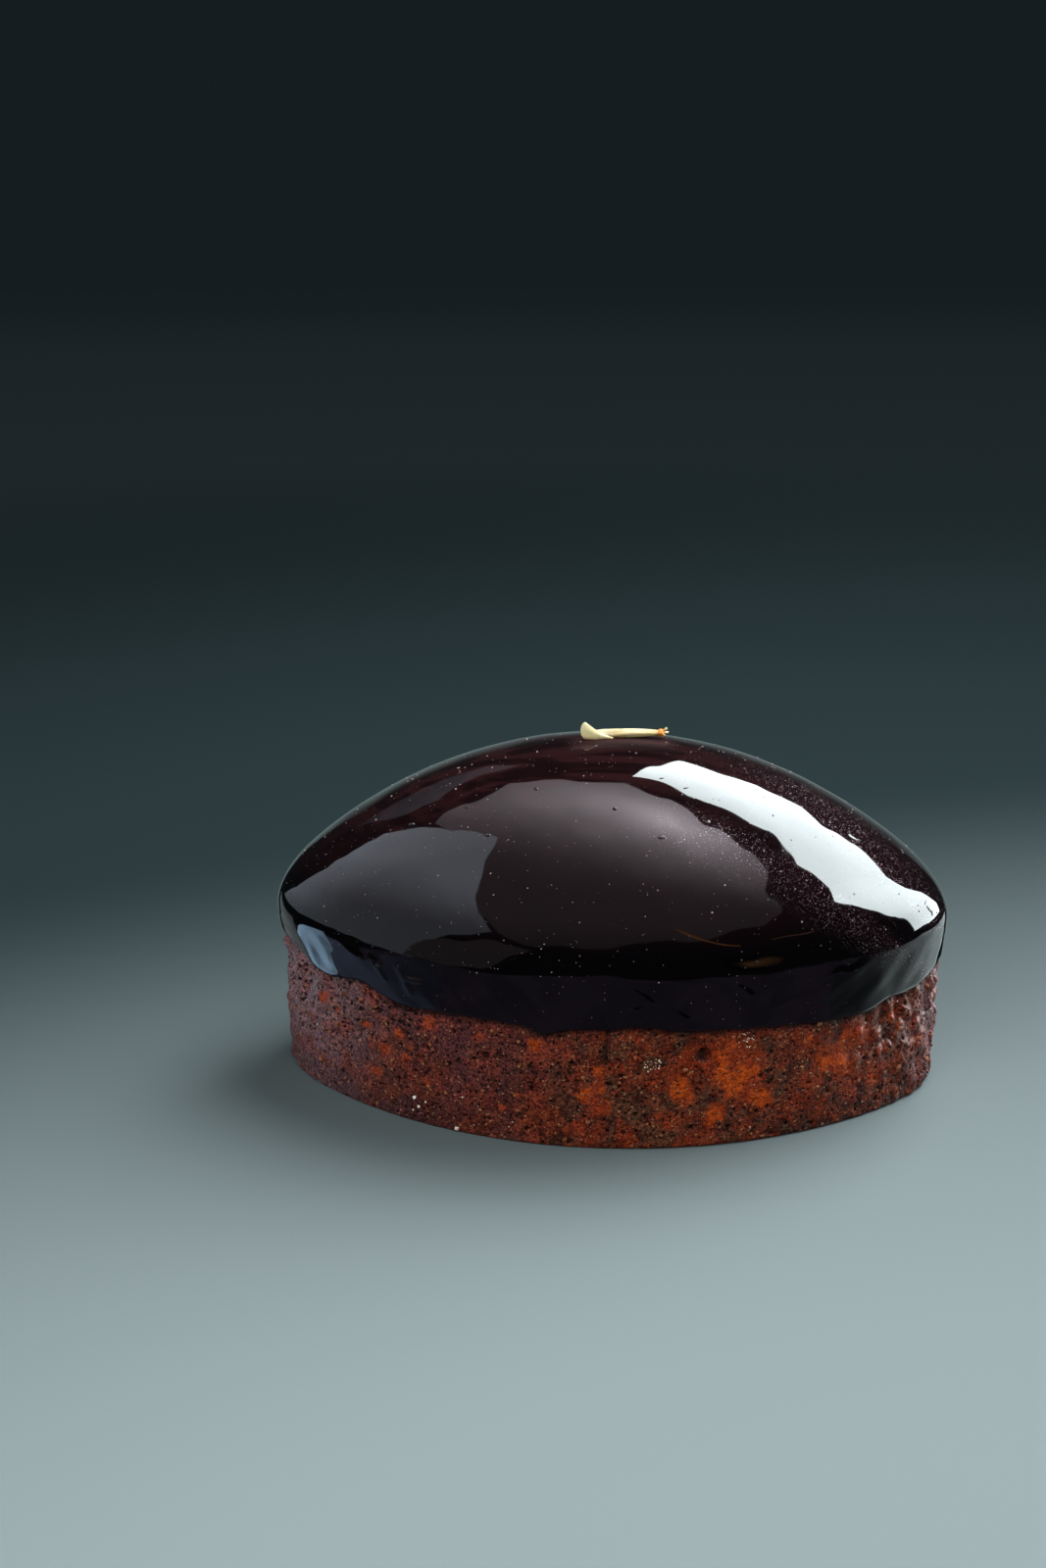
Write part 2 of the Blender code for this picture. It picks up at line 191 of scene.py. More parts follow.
class Wire:
    """A value in a node tree. Python's operators on it add the Math nodes that work it out."""

    def __init__(self, bench, socket):
        self.bench = bench
        self.socket = socket

    __add__ = __radd__ = of_two("ADD")
    __sub__ = of_two("SUBTRACT")
    __mul__ = __rmul__ = of_two("MULTIPLY")
    __truediv__ = of_two("DIVIDE")
    __pow__ = of_two("POWER")
    __gt__ = of_two("GREATER_THAN")
    __lt__ = of_two("LESS_THAN")
    __abs__ = of_one("ABSOLUTE")
    at_least = of_two("MAXIMUM")
    at_most = of_two("MINIMUM")
    root = of_one("SQRT")
    sine = of_one("SINE")
    cosine = of_one("COSINE")
    sign = of_one("SIGN")

    def __rsub__(self, other):
        return self.bench.math("SUBTRACT", other, self)

    def __neg__(self):
        return self * -1

    def within(self, low, high):
        return self.at_least(low).at_most(high)

    def ramp(self, low, high, start=0, end=1):
        """Goes smoothly from start to end as the value goes from low to high."""
        made = self.bench.add(
            "ShaderNodeMapRange",
            {"Value": self, "From Min": low, "From Max": high, "To Min": start, "To Max": end},
            interpolation_type="SMOOTHSTEP",
        )
        return made["Result"]

    def ramp_mm(self, low, high, start=0, end=1):
        """The same, with low and high in millimetres."""
        return self.ramp(low * MM, high * MM, start, end)


class Made:
    """A node that was added, whose outputs are read by name."""

    def __init__(self, bench, node):
        self.bench = bench
        self.node = node

    def __getitem__(self, name):
        return Wire(self.bench, pick(self.node.outputs, name))


def pick(sockets, name):
    """The socket of that identifier, name or number."""
    if isinstance(name, int):
        return sockets[name]
    for socket in sockets:
        if socket.identifier == name:
            return socket
    return sockets[name]


class Bench:
    """Adds nodes to one tree, of a shape or of a material."""

    def __init__(self, tree):
        self.tree = tree

    def add(self, kind, sockets=None, **settings):
        node = self.tree.nodes.new(kind)
        for name, value in settings.items():
            setattr(node, name, value)
        self.fill(node, sockets or {})
        return Made(self, node)

    def point(self):
        """The place being worked on, in metres from the object's origin."""
        if self.tree.bl_idname == "ShaderNodeTree":
            return self.add("ShaderNodeTexCoord")["Object"]
        return self.add("GeometryNodeInputPosition")["Position"]

    def fill(self, node, sockets):
        """Gives each named input of a node its link or its constant."""
        for name, value in sockets.items():
            socket = pick(node.inputs, name)
            if isinstance(value, Wire):
                self.tree.links.new(value.socket, socket)
            else:
                socket.default_value = value

    def math(self, operation, *values):
        return self.add("ShaderNodeMath", dict(enumerate(values)), operation=operation)["Value"]

    def vector(self, x, y, z):
        return self.add("ShaderNodeCombineXYZ", {"X": x, "Y": y, "Z": z})["Vector"]

    def parts(self, vector):
        made = self.add("ShaderNodeSeparateXYZ", {"Vector": vector})
        return made["X"], made["Y"], made["Z"]

    def times(self, vector, factor):
        made = self.add("ShaderNodeVectorMath", {"Vector": vector, "Scale": factor}, operation="SCALE")
        return made["Vector"]

    def noise(self, vector, size, detail=2, roughness=0.5):
        """Smooth noise around 0.5 with features of that size, in metres."""
        sockets = {"Vector": vector, "Scale": 1 / size, "Detail": detail, "Roughness": roughness}
        return self.add("ShaderNodeTexNoise", sockets)[0]

    def cells(self, vector, size):
        """A Voronoi texture with cells of that size: its distances are in cells."""
        return self.add("ShaderNodeTexVoronoi", {"Vector": vector, "Scale": 1 / size})

    def dots(self, vector, size, share, inner, outer, channel):
        """Round dots in a share of the cells: 1 up to inner cells from their middle, 0 past outer."""
        cells = self.cells(vector, size)
        there = self.parts(cells["Color"])[channel] > 1 - share
        return cells["Distance"].ramp(inner, outer, 1, 0) * there

    def blend(self, share, first, second):
        """The second colour over the first, by share."""
        sockets = {"Factor_Float": share, "A_Color": first, "B_Color": second}
        return self.add("ShaderNodeMix", sockets, data_type="RGBA")["Result_Color"]

    def bump(self, strength, distance, height):
        sockets = {"Strength": strength, "Distance": distance, "Height": height}
        return self.add("ShaderNodeBump", sockets)["Normal"]


def put_in_scene(name, data):
    """A new object of that name and data, in the scene."""
    made = bpy.data.objects.new(name, data)
    bpy.context.scene.collection.objects.link(made)
    return made


def shape_bench(name, sizes):
    """A Geometry Nodes tree with a named input for each size, and the inputs as wires."""
    tree = bpy.data.node_groups.new(name, "GeometryNodeTree")
    tree.interface.new_socket("Geometry", in_out="INPUT", socket_type="NodeSocketGeometry")
    tree.interface.new_socket("Geometry", in_out="OUTPUT", socket_type="NodeSocketGeometry")
    for size in sizes:
        tree.interface.new_socket(size, in_out="INPUT", socket_type="NodeSocketFloat")
    bench = Bench(tree)
    return bench, bench.add("NodeGroupInput")


def finish_shape(bench, geometry, material):
    """Ends a tree: smooth faces, the material, and the output."""
    smooth = bench.add("GeometryNodeSetShadeSmooth", {"Geometry": geometry})["Geometry"]
    coated = bench.add("GeometryNodeSetMaterial", {"Geometry": smooth, "Material": material})
    bench.add("NodeGroupOutput", {"Geometry": coated["Geometry"]})


def shape_mesh(name, bench, sizes, base=None):
    """Runs a tree over base, or over nothing, and keeps its result as a plain mesh object."""
    start = bpy.data.meshes.new(name + "_start") if base is None else base.data.copy()
    source = put_in_scene(name + "_start", start)
    modifier = source.modifiers.new("shape", "NODES")
    modifier.node_group = bench.tree
    for item in bench.tree.interface.items_tree:
        if item.in_out == "INPUT" and item.name in sizes:
            modifier[item.identifier] = sizes[item.name]
    bpy.context.view_layer.update()
    graph = bpy.context.evaluated_depsgraph_get()
    mesh = bpy.data.meshes.new_from_object(source.evaluated_get(graph), depsgraph=graph)
    mesh.name = name
    bpy.data.objects.remove(source, do_unlink=True)
    return put_in_scene(name, mesh)


def root_of(value):
    return value.root() if isinstance(value, Wire) else math.sqrt(max(0, value))


def half_width(x, outset):
    """Half of the almond's width at x, outset outside the crust's wall, for numbers and wires alike."""
    half_length = outset + HALF_LENGTH
    arc = root_of((outset + SIDE_RADIUS) ** 2 - x**2) - (SIDE_RADIUS - HALF_WIDTH)
    return arc * root_of(1 - abs(x / half_length) ** TIP_SHARPNESS)


def dome_height(x, y):
    """Height of the dome over (x, y), for numbers and wires alike."""
    width_here = half_width(x, OVERHANG)
    ridge = DOME_RISE * (width_here / (HALF_WIDTH + OVERHANG)) ** RIDGE_POWER
    return WIDEST_HEIGHT + ridge * root_of(1 - (y / width_here) ** 2)


def wrapped_grid(bench, columns, rows):
    """A unit grid, with each point's turn round the tart in radians and its row number."""
    grid = bench.add(
        "GeometryNodeMeshGrid",
        {"Size X": 1, "Size Y": 1, "Vertices X": columns + 1, "Vertices Y": rows + 1},
    )["Mesh"]
    u, v, _ = bench.parts(bench.point())
    turn = (u + 0.5) * (2 * math.pi)
    row = bench.math("ROUND", (v + 0.5) * rows)
    return grid, turn, row


def close_seams(bench, geometry):
    """Merges the wrapped grid's seam and poles."""
    sockets = {"Geometry": geometry, "Distance": 0.002 * MM}
    return bench.add("GeometryNodeMergeByDistance", sockets)["Geometry"]


def move_points(bench, geometry, **sockets):
    """Moves the points to a Position, or by an Offset."""
    return bench.add("GeometryNodeSetPosition", {"Geometry": geometry, **sockets})["Geometry"]


def push_out(bench, geometry, height):
    """Moves each point along its normal by height, which reads the points' own position."""
    normal = bench.add("GeometryNodeInputNormal")[0]
    return move_points(bench, geometry, Offset=bench.times(normal, height))


def bump_at(x, z, centre_x, centre_z, reach):
    """1 at the centre, falling smoothly to 0 at the distance reach, all in millimetres."""
    distance = ((x - centre_x * MM) ** 2 + (z - centre_z * MM) ** 2).root()
    return distance.ramp_mm(0, reach, 1, 0)


def hump(x, centre, reach, height):
    """A smooth hump along x: its centre, reach and height are in millimetres."""
    return x.bench.math("EXPONENT", -(((x - centre * MM) / (reach * MM)) ** 2)) * (height * MM)


def edge_sag(x, y):
    """How much higher the glaze's edge is than its even line."""
    in_front = (-y).ramp_mm(-2, 8)
    sag = sum(hump(x, *one) for one in EDGE_SAGS)
    return sag * in_front + hump(x, *LEFT_TIP_LIFT)


def crease(x, z, start_x, start_z, end_x, end_z, reach):
    """1 along the line between two points of the front, 0 further than reach from it."""
    run_x, run_z = (end_x - start_x) * MM, (end_z - start_z) * MM
    from_x, from_z = x - start_x * MM, z - start_z * MM
    share = ((from_x * run_x + from_z * run_z) / (run_x**2 + run_z**2)).within(0, 1)
    distance = ((from_x - share * run_x) ** 2 + (from_z - share * run_z) ** 2).root()
    return distance.ramp_mm(0, reach, 1, 0)


def rim_rise(x):
    """How much higher the crust's rim is towards the left tip, where the glaze's edge is high."""
    return x.ramp_mm(-28, -38) * (0.9 * MM) + hump(x, -54, 6.5, 1.8)


def glaze_edge(bench, x, y, given):
    """Height of the glaze's lower edge: higher at the tips, with sags where it ran in front."""
    plan = bench.vector(x, y, 0)
    wave = (bench.noise(plan, 9 * MM, 1) - 0.5) * given["Edge wave"]
    wave = wave + (bench.noise(plan, 2.6 * MM, 2) - 0.5) * (given["Edge wave"] * 0.45)
    return given["Edge height"] + given["Tip lift"] * abs(x / HALF_LENGTH) ** 6 + wave + edge_sag(x, y)


def glaze_shape(material):
    """The glaze in one closed skin: dome, skirt, rounded lip, and back in over the crust's top."""
    sizes = {
        "Edge height": 20.4 * MM,
        "Tip lift": 1.9 * MM,
        "Edge wave": 0.75 * MM,
        "Edge thickness": 0.9 * MM,
        "Swell": 0.3 * MM,
        "Ripple": 0.1 * MM,
        "Skirt folds": 0.7 * MM,
        "Creases": 0.13 * MM,
    }
    bench, given = shape_bench("glaze_shell", sizes)
    rows = (DOME_ROWS, SKIRT_ROWS, LIP_ROWS, INNER_ROWS, UNDER_ROWS)
    grid, turn, row = wrapped_grid(bench, GLAZE_COLUMNS, sum(rows))
    shares, begin = [], 0
    for count in rows:
        shares.append(((row - begin) / count).within(0, 1))
        begin += count
    over, down, lip, inside, under = shares
    half_lip = given["Edge thickness"] / 2
    edge_outset = given["Edge thickness"] - 0.3 * MM
    outset = OVERHANG + (edge_outset - OVERHANG) * down**2
    outset = outset + ((lip * math.pi).cosine() - 1) * half_lip
    reach = (over * (math.pi / 2)).sine() * (1 - under)
    rim_x = turn.cosine() * (outset + HALF_LENGTH)
    rim_y = half_width(rim_x, outset) * turn.sine().sign()
    edge = glaze_edge(bench, rim_x, rim_y, given)
    x, y = rim_x * reach, rim_y * reach
    above = dome_height(x, y) - WIDEST_HEIGHT
    on_dome = row < DOME_ROWS - 0.5
    skirt_drop = (edge + half_lip - WIDEST_HEIGHT) * down
    lip_drop = (lip * math.pi).sine() * half_lip
    ceiling = CRUST_HEIGHT + 0.2 * MM + rim_rise(rim_x) * (1 - under)
    rise_inside = (ceiling - edge - half_lip) * inside
    z = above * on_dome + WIDEST_HEIGHT + skirt_drop - lip_drop + rise_inside
    shell = close_seams(bench, move_points(bench, grid, Position=bench.vector(x, y, z)))
    shell = bench.add("GeometryNodeFlipFaces", {"Mesh": shell})["Mesh"]
    point = bench.point()
    px, py, pz = bench.parts(point)
    swell = (bench.noise(point, 15 * MM, 1) - 0.5) * given["Swell"]
    ripple = (bench.noise(point, 6 * MM, 1) - 0.5) * given["Ripple"]
    low = pz.ramp(WIDEST_HEIGHT + 0.5 * MM, WIDEST_HEIGHT - 2 * MM)
    upright = bench.vector(abs(px) - pz * 1.1, py, pz * 0.5)
    folds = (bench.noise(upright, 6.5 * MM, 1, 0.3) - 0.5) * given["Skirt folds"] * low
    folds = folds * abs(px / HALF_LENGTH).ramp(0.45, 0.85, 0.45, 1)
    for line in CREASES:
        folds = folds - crease(px, pz, *line) * (-py).ramp_mm(0, 4) * low * given["Creases"]
    tongue = bump_at(px, pz, *TONGUE) * (-py).ramp_mm(0, 4)
    folds = folds + tongue * given["Creases"]
    outer = pz > given["Edge height"] - 2 * MM
    shell = push_out(bench, shell, -(swell + ripple + folds) * outer)
    finish_shape(bench, shell, material)
    return shape_mesh("glaze", bench, sizes)


def crust_marks(bench, point):
    """The named marks on the front wall: how rusty it is, and how far the seam and dents go in."""
    x, y, z = bench.parts(point)
    in_front = (-y).ramp_mm(0, 5)
    stir = (bench.noise(point, 2.2 * MM, 3, 0.6) - 0.5) * (2.6 * MM)
    lift = (bench.noise(bench.vector(z, x, y), 2.2 * MM, 3, 0.6) - 0.5) * (2.6 * MM)
    rust = 0
    for patch_x, patch_z, reach in RUSTY_PATCHES:
        wide = 1.3 if patch_x > -6 else 1
        rust = bump_at(x + stir, z + lift, patch_x, patch_z, reach * wide) + rust
    seam_line = SEAM_X + (bench.noise(point, 2.2 * MM, 3) - 0.5) * (2.2 * MM)
    dents = abs(x - seam_line).ramp_mm(0, 0.45, 1, 0) * z.ramp_mm(12, 15) * 0.35
    for dent_x, dent_z, radius, depth in DIMPLES:
        dent = bump_at(x + stir * 0.15, z, dent_x, dent_z, radius)
        dents = dents + (dent * 2).at_most(1) * depth
    return rust.at_most(1) * in_front, dents * in_front


def crust_relief(bench, point, dents):
    """How far the baked wall stands out of its nominal face: lumps and crumb, less pores and dents."""
    x, y, z = bench.parts(point)
    relief = -0.22 * MM * bench.noise(point, 7 * MM, 1)
    relief = relief + (bench.noise(point, 2.4 * MM, 3, 0.6) - 0.5) * (0.34 * MM)
    relief = relief + (bench.noise(point, 0.8 * MM, 2, 0.6) - 0.5) * (0.3 * MM)
    for *pores, depth in CRUST_PORES[:2]:  # the finest are only dark, not deep
        relief = relief - pore(bench, point, *pores) * depth
    relief = relief - pore(bench, point, *OPEN_PORES[:3]) * open_crumb(x, z) * OPEN_PORES[3]
    ends = abs(x).ramp(HALF_LENGTH * 0.7, HALF_LENGTH * 0.98)
    furrows = bench.noise(bench.vector(x, y, z * 0.55), 2.6 * MM, 4, 0.6)
    relief = relief + (furrows - 0.5) * ends * (x.ramp_mm(-1, 1) * 0.7 + 0.7) * (2.1 * MM)
    lumps = bench.cells(bench.vector(x, y, z * 0.8), 2.6 * MM)["Distance"].ramp(0, 0.7, 1, 0)
    lumpy = x.ramp_mm(30, 42) + x.ramp_mm(-24, -38) * 1.15
    relief = relief + (lumps - 0.4) * lumpy * z.ramp_mm(7, 13) * (0.8 * MM)
    return relief - dents * MM


def pore(bench, point, size, reach, share):
    """1 in the middle of a round pore and 0 outside it."""
    return bench.dots(point, size, share, reach * 0.5, reach, 0)


def open_crumb(x, z):
    """Where the crumb is open, high up on the left."""
    return x.ramp_mm(-22, -30) * z.ramp_mm(10, 14)


def keep_on_points(bench, geometry, name, value, kind="FLOAT"):
    """Stores a value on the points for the material to read."""
    sockets = {"Geometry": geometry, "Name": name, "Value": value}
    made = bench.add("GeometryNodeStoreNamedAttribute", sockets, data_type=kind, domain="POINT")
    return made["Geometry"]


def crust_shape(material):
    """The baked wall with its base and top, as one closed skin."""
    sizes = {"Foot round": 0.9 * MM, "Height": CRUST_HEIGHT}
    bench, given = shape_bench("crust_wall", sizes)
    total = WALL_ROWS + 2 * CAP_ROWS
    grid, turn, row = wrapped_grid(bench, CRUST_COLUMNS, total)
    base = (row / CAP_ROWS).within(0, 1)
    up = ((row - CAP_ROWS) / WALL_ROWS).within(0, 1)
    top = ((row - CAP_ROWS - WALL_ROWS) / CAP_ROWS).within(0, 1)
    z = up * (given["Height"] + rim_rise(turn.cosine() * HALF_LENGTH) * (1 - top))
    foot = given["Foot round"]
    to_foot = (1 - z / foot).at_least(0)
    inset = (1 - (1 - to_foot**2).root()) * foot * 0.7
    rim_x = turn.cosine() * (HALF_LENGTH - inset)
    rim_y = half_width(rim_x, -inset) * turn.sine().sign()
    reach = base * (1 - top)
    place = bench.vector(rim_x * reach, rim_y * reach, z)
    wall = close_seams(bench, move_points(bench, grid, Position=place))
    point = bench.point()
    rust, dents = crust_marks(bench, point)
    wall = keep_on_points(bench, wall, "rust", rust)
    wall = keep_on_points(bench, wall, "dents", dents)
    wall = keep_on_points(bench, wall, "nominal", point, "FLOAT_VECTOR")
    px, _, pz = bench.parts(point)
    on_wall = bench.parts(bench.add("GeometryNodeInputNormal")[0])[2]
    on_wall = abs(on_wall).ramp(0.6, 0.95, 1, 0)
    fade = pz.ramp_mm(0, 0.7, 0.25, 1) * (CRUST_HEIGHT + rim_rise(px) - pz).ramp_mm(0, 1)
    wall = push_out(bench, wall, crust_relief(bench, point, dents) * on_wall * fade)
    finish_shape(bench, wall, material)
    return shape_mesh("crust", bench, sizes)


def scatter(name, base, material, grains, seed, density, sides=(8, 5), rough=0):
    """Small rounded grains, spread over base and half sunk in it, as one mesh.

    The grains are how many there are per square metre, and their smallest and largest radius in mm.
    """
    count, smallest, largest = grains
    sizes = {"Per square metre": count, "Smallest": smallest * MM, "Largest": largest * MM}
    bench, given = shape_bench(name, sizes)
    point = bench.point()
    per_area = density(bench.parts(point)) * given["Per square metre"]
    spread = bench.add(
        "GeometryNodeDistributePointsOnFaces",
        {"Mesh": given["Geometry"], "Density": per_area, "Seed": seed},
        distribute_method="RANDOM",
    )
    sockets = {"Segments": sides[0], "Rings": sides[1], "Radius": 1}
    grain = bench.add("GeometryNodeMeshUVSphere", sockets)["Mesh"]
    dice = bench.add("FunctionNodeRandomValue", {"Seed": seed + 1}, data_type="FLOAT_VECTOR")
    first, second, third = bench.parts(dice["Value"])
    size = given["Smallest"] + (given["Largest"] - given["Smallest"]) * first**3
    scale = bench.vector(size, size * (0.7 + 0.5 * second), size * (0.55 + 0.35 * third))
    sockets = {"Points": spread["Points"], "Instance": grain}
    sockets |= {"Rotation": spread["Rotation"], "Scale": scale}
    placed = bench.add("GeometryNodeInstanceOnPoints", sockets)["Instances"]
    real = bench.add("GeometryNodeRealizeInstances", {"Geometry": placed})["Geometry"]
    if rough:
        sockets = {"Vector": point, "Scale": 1 / (0.35 * MM), "Detail": 1}
        shake = bench.add("ShaderNodeTexNoise", sockets)["Color"]
        sockets = {0: shake, 1: (0.5, 0.5, 0.5)}
        moved = bench.add("ShaderNodeVectorMath", sockets, operation="SUBTRACT")["Vector"]
        real = move_points(bench, real, Offset=bench.times(moved, rough))
    finish_shape(bench, real, material)
    return shape_mesh(name, bench, sizes, base)


def bare_wall(place):
    """1 on the wall below the glaze, 0 at its foot and above the glaze's edge."""
    z = place[2]
    return z.ramp_mm(0.4, 1.2) * z.ramp_mm(21.5, 19)


def sugared_wall(place):
    """The bare wall, and far more in front where sugar lies in clusters."""
    return bare_wall(place) + sugar_clusters(place)


def upper_dome(place):
    """1 on the dome above its widest line."""
    return place[2].ramp_mm(27, 33)


def loose_crystals(material):
    """Single sugar crystals, small blunt cubes stuck to the wall at their own turn."""
    made = bmesh.new()
    for number, (x, z, half) in enumerate(CRYSTALS):
        outward = -half_width(x * MM, 0)
        turn = Euler((0.7 + number, 0.4 * number, 0.5 + 1.3 * number)).to_matrix().to_4x4()
        place = Matrix.Translation((x * MM, outward - half * 0.3 * MM, z * MM)) @ turn
        bmesh.ops.create_cube(made, size=2 * half * MM, matrix=place)
    bmesh.ops.bevel(made, geom=made.edges[:], offset=0.03 * MM, segments=1, affect="EDGES")
    return mesh_object("sugar_crystals", made, material)


def sugar_clusters(place):
    """Where sugar crystals lie close together in front."""
    x, y, z = place
    close = 0
    for cluster_x, cluster_z, reach, share in SUGAR_CLUSTERS:
        close = bump_at(x, z, cluster_x, cluster_z, reach) * share + close
    return close * (-y).ramp_mm(0, 5)


def glaze_blisters(material):
    """The few large blisters in the glaze, low mounds set along its slope."""
    made = bmesh.new()
    for x, y, length, width, height, yaw in BLISTERS:
        step = 0.05
        top = dome_height(x * MM, y * MM)
        slope_x = (dome_height((x + step) * MM, y * MM) - top) / (step * MM)
        slope_y = (dome_height(x * MM, (y + step) * MM) - top) / (step * MM)
        lean = Vector((-slope_x, -slope_y, 1)).to_track_quat("Z", "Y").to_matrix().to_4x4()
        size = Matrix.Diagonal((length * MM, width * MM, height * MM, 1))
        place = Matrix.Translation((x * MM, y * MM, top))
        place = place @ lean @ Matrix.Rotation(math.radians(yaw), 4, "Z") @ size
        bmesh.ops.create_uvsphere(made, u_segments=24, v_segments=14, radius=1, matrix=place)
    return mesh_object("glaze_blisters", made, material)


def material_bench(name):
    """A material with its Principled shader, and the bench that adds nodes to it."""
    material = bpy.data.materials.new(name)
    material.use_nodes = True
    shader = material.node_tree.nodes["Principled BSDF"]
    return material, Bench(material.node_tree), shader


def near_streak(x, y, z):
    """1 on the glaze beside the window's long highlight, where a glow and the glints of its fine bubbles
    are painted.
    """
    above = z - (56.3 * MM - 11 * x * x)
    off = abs(above)
    beside = off.ramp_mm(11, 3.5) * off.ramp_mm(1.8, 4.2, 0.12, 1)
    beside = beside * above.ramp_mm(1, 5, 1, 1.5)
    return beside * x.ramp_mm(3, 14) * (-y).ramp_mm(-2, 4)


def mirror_glaze(name="mirror_glaze", body=None):
    """Near-black chocolate glaze: a mirror with fine bubbles; the maroon of its top and the glints beside
    the window's highlight are painted light.
    """
    material, bench, shader = material_bench(name)
    point = bench.point()
    x, y, z = bench.parts(point)
    tone = bench.noise(point, 7 * MM, 3)
    painted_glints_by_window = near_streak(x, y, z)
    # Painted light: the base colour turns lighter maroon above the widest line, most on the top towards
    # the back where the back light falls, in uneven bands.
    top = z.ramp_mm(34, 58) * y.ramp_mm(-30, -4)
    bands = bench.noise(bench.vector(x * 0.12, y, z * 1.6), 2.8 * MM, 2)
    painted_top_light = top * bands.ramp(0.42, 0.58, 0.15, 1.5) * 0.72 + z.ramp_mm(32, 38, 0, 0.24)
    painted_top_light = painted_top_light.at_most(1.2) * tone.ramp(0.25, 0.75, 0.75, 1.2)
    colour = bench.blend(painted_top_light, GLAZE_DEEP, GLAZE_PAINTED_TOP_LIGHT)
    # Painted glow: the tone is lighter beside the window's highlight.
    colour = bench.blend(painted_glints_by_window * tone.ramp(0.25, 0.75, 0.5, 1), colour, GLAZE_PAINTED_GLOW)
    dust = bench.dots(point, 0.62 * MM, 0.1, 0.06, 0.17, 0)
    colour = bench.blend(dust * 0.3, colour, DUST)
    # Painted glints: pale dots beside the window's highlight, standing in for the lit fine bubbles.
    for size, share, strength in ((0.17 * MM, 0.36, 0.75), (0.36 * MM, 0.09, 0.9)):
        fine = bench.dots(point, size, share, 0.14, 0.32, 1)
        thick = bench.noise(point, 2.6 * MM, 2).ramp(0.36, 0.6, 0.25, 1)
        colour = bench.blend(fine * painted_glints_by_window * thick * strength, colour, PAINTED_BUBBLE_GLINT)
    if body:
        pale = bench.noise(point, 5 * MM, 1).ramp(0.4, 0.6, 0.08, 0.85)
        colour = bench.blend(pale, colour, body)
    else:
        paint_blossom_reflection(material, bench, shader, x, y, z)
    look = {
        "Base Color": colour,
        "IOR": 1.5,
        "Roughness": bench.noise(point, 4 * MM, 2).ramp(0.45, 0.75, 0.028, 0.055),
        "Normal": bench.bump(0.4, 0.02 * MM, dust),
    }
    bench.fill(shader, look)
    return material


def paint_blossom_reflection(material, bench, shader, x, y, z):
    """A dark, rough film painted on the glaze in front of the dried blossom, as the dark reflection of the
    blossom's shaded underside.
    """
    before_tube = 1.4 * MM + x * 0.19 - y
    # Painted reflection: where the dark film stands in front of the tube, in bands.
    painted_reflection_mask = before_tube.ramp_mm(7.5, 3) * before_tube.ramp_mm(-2.5, -0.5)
    painted_reflection_mask = painted_reflection_mask * x.ramp_mm(-8, -4) * x.ramp_mm(12.5, 8) * z.ramp_mm(50, 54)
    bands = bench.noise(bench.vector(x * 0.14, y, z * 1.6), 2.4 * MM, 2)
    tone = bench.times(GLAZE_PAINTED_REFLECTION, bands.ramp(0.38, 0.62, 0.5, 1.3))
    look = {"Base Color": tone, "Roughness": 0.55, "Specular IOR Level": 0.03}
    film = bench.add("ShaderNodeBsdfPrincipled", look)["BSDF"]
    mirror = Wire(bench, shader.outputs["BSDF"])
    both = bench.add("ShaderNodeMixShader", {0: painted_reflection_mask, 1: mirror, 2: film})["Shader"]
    bench.fill(material.node_tree.nodes["Material Output"], {"Surface": both})


